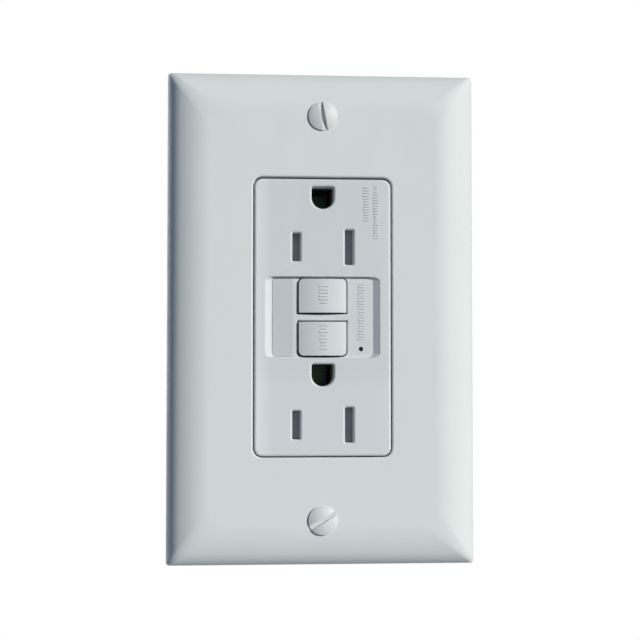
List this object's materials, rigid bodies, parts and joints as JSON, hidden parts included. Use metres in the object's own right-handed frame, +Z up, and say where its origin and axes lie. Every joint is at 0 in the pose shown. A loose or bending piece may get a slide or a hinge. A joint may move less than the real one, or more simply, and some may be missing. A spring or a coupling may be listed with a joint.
{
  "type": "gfci outlet",
  "caption": "Duplex ground-fault outlet with test and reset buttons behind a bevelled wall plate, with strap, contacts, board and trip mechanism inside.",
  "frame": {"origin": "on the wall's surface, midway between the two box screws", "axes": "+Z up, +Y into the wall, +X to the right seen from the front"},
  "size_m": [0.0746, 0.0353, 0.119],
  "materials": {
    "plate_white": "smooth moulded thermoplastic, satin gloss",
    "device_white": "smooth moulded thermoplastic, satin gloss",
    "button_white": "moulded thermoplastic, satin",
    "label_grey": "plain printed-film insert, bare",
    "lens_clear": "clear moulded light pipe",
    "lamp_green": "tinted lamp body",
    "shutter_grey": "moulded, matt",
    "screw_paint": "painted head, zinc-plated thread",
    "zinc_steel": "zinc-plated pressed steel",
    "green_screw": "green dyed plating",
    "brass": "pressed spring brass",
    "brass_screw": "turned brass-coloured screw",
    "silver_screw": "nickel-plated screw",
    "fibre": "pressed fibre washer",
    "housing_grey": "moulded thermoplastic, fine texture",
    "insulator_blue": "moulded thermoset, matt",
    "board_green": "solder-masked glass laminate",
    "ferrite": "sintered core",
    "copper_wire": "enamelled wire",
    "bobbin_nylon": "natural nylon",
    "carrier_nylon": "coloured nylon",
    "spring_steel": "drawn spring wire",
    "part_black": "moulded epoxy case",
    "varistor_blue": "dipped epoxy",
    "capacitor_sleeve": "shrunk sleeve on an aluminium can",
    "resistor_tan": "lacquered body"
  },
  "bodies": {
    "outlet": {"wall_plate": "plate_white", "plate_screws": "screw_paint", "face_cover": "device_white", "label_strip": "label_grey", "reset_spring": "spring_steel", "test_spring": "spring_steel", "light_pipe": "lens_clear", "status_led": "lamp_green", "upper_shutter_spring": "spring_steel", "lower_shutter_spring": "spring_steel", "mounting_strap": "zinc_steel", "ground_screw": "green_screw", "mounting_screws": "zinc_steel", "screw_retainers": "fibre", "upper_ground_contact": "brass", "lower_ground_contact": "brass", "ground_rivets": "brass_screw", "middle_housing": "insulator_blue", "load_hot_contact": "brass", "load_neutral_contact": "brass", "line_contacts": "brass", "line_hot_terminal": "brass", "line_neutral_terminal": "brass", "hot_terminal_screws": "brass_screw", "neutral_terminal_screws": "silver_screw", "clamp_plates": "zinc_steel", "circuit_board": "board_green", "sense_core": "ferrite", "neutral_core": "ferrite", "sense_winding": "copper_wire", "neutral_winding": "copper_wire", "coil_housing": "part_black", "coil_conductors": "brass", "solenoid_bobbin": "bobbin_nylon", "solenoid_winding": "copper_wire", "solenoid_frame": "zinc_steel", "plunger_spring": "spring_steel", "break_springs": "spring_steel", "test_contact": "brass", "varistor": "varistor_blue", "capacitor": "capacitor_sleeve", "diodes": "part_black", "resistors": "resistor_tan", "controller_chip": "part_black", "thyristor": "part_black", "rear_housing": "housing_grey", "assembly_screws": "zinc_steel"},
    "test_button": {"test_button": "button_white"},
    "reset_button": {"reset_button": "button_white", "reset_pin": "zinc_steel"},
    "upper_shutter": {"upper_shutter": "shutter_grey"},
    "lower_shutter": {"lower_shutter": "shutter_grey"},
    "plunger": {"plunger": "zinc_steel"},
    "contact_carrier": {"contact_carrier": "carrier_nylon", "contact_bridges": "brass"},
    "latch_slide": {"latch_slide": "zinc_steel"}
  },
  "joints": [
    {"name": "test_press", "type": "slide", "parent": "outlet", "child": "test_button", "axis": [0, 1, 0], "range_m": [0, 0.0012], "stiffness_N_per_m": 400, "springref_m": -0.0005, "deforming": ["test_spring"]},
    {"name": "reset_press", "type": "slide", "parent": "outlet", "child": "reset_button", "axis": [0, 1, 0], "range_m": [0, 0.002], "stiffness_N_per_m": 400, "springref_m": -0.0005, "deforming": ["reset_spring"]},
    {"name": "upper_shutter_slide", "type": "slide", "parent": "outlet", "child": "upper_shutter", "axis": [1, 0, 0], "range_m": [0, 0.0026], "stiffness_N_per_m": 150, "springref_m": -0.0005, "deforming": ["upper_shutter_spring"]},
    {"name": "lower_shutter_slide", "type": "slide", "parent": "outlet", "child": "lower_shutter", "axis": [1, 0, 0], "range_m": [0, 0.0026], "stiffness_N_per_m": 150, "springref_m": -0.0005, "deforming": ["lower_shutter_spring"]},
    {"name": "plunger_slide", "type": "slide", "parent": "outlet", "child": "plunger", "axis": [0, 0, 1], "range_m": [-0.0016, 0], "stiffness_N_per_m": 300, "springref_m": 0.0006, "deforming": ["plunger_spring"]},
    {"name": "carrier_slide", "type": "slide", "parent": "outlet", "child": "contact_carrier", "axis": [0, 1, 0], "range_m": [0, 0.0016], "deforming": ["break_springs"]},
    {"name": "latch_slide", "type": "slide", "parent": "contact_carrier", "child": "latch_slide", "axis": [0, 0, 1], "range_m": [-0.0016, 0]}
  ],
  "couplings": [
    {"joint": "latch_slide", "follows": "plunger_slide", "ratio": 1}
  ]
}
